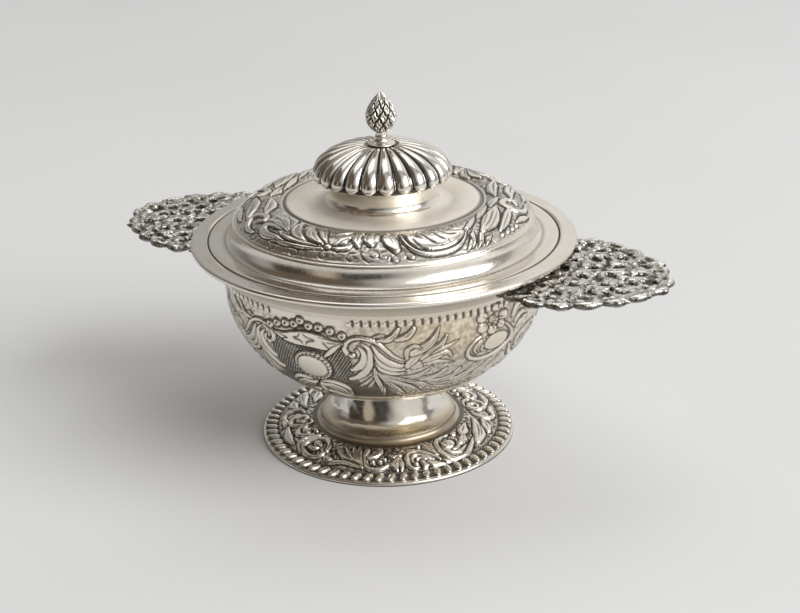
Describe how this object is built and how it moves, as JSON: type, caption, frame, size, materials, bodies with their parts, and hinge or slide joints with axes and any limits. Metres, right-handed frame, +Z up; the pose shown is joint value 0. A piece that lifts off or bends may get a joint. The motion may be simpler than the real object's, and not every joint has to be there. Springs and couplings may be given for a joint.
{
  "type": "covered bowl",
  "caption": "Round silver bowl on a spreading foot with two flat pierced ear handles and a lift-off domed cover topped by a pine-cone finial.",
  "frame": {"origin": "on the bowl's axis, in the plane that the foot stands on", "axes": "+Z up the bowl's axis, +X along the handles"},
  "size_m": [0.216, 0.14, 0.131],
  "materials": {
    "chased_silver": "chased silver with dark oxidised grounds and worn bright relief",
    "plain_silver": "satin polished silver with fine scratches and light tarnish",
    "cast_silver": "cast silver, polished on top and dark in the hollows",
    "fixing": "plain turned metal, out of sight inside the cover"
  },
  "bodies": {
    "bowl_body": {"foot": "chased_silver", "foot_border": "chased_silver", "foot_waist": "plain_silver", "bowl": "chased_silver", "bowl_rim_wire": "plain_silver", "handle_right": "cast_silver", "handle_left": "cast_silver"},
    "cover": {"lid": "chased_silver", "lid_bezel": "plain_silver", "lid_dome": "plain_silver", "finial_collar": "plain_silver", "finial": "cast_silver", "finial_washer": "fixing", "finial_nut": "fixing", "finial_stud": "fixing"}
  },
  "joints": [
    {"name": "lid_lift", "type": "slide", "parent": "bowl_body", "child": "cover", "axis": [0, 0, 1], "range_m": [0, 0.06]}
  ]
}
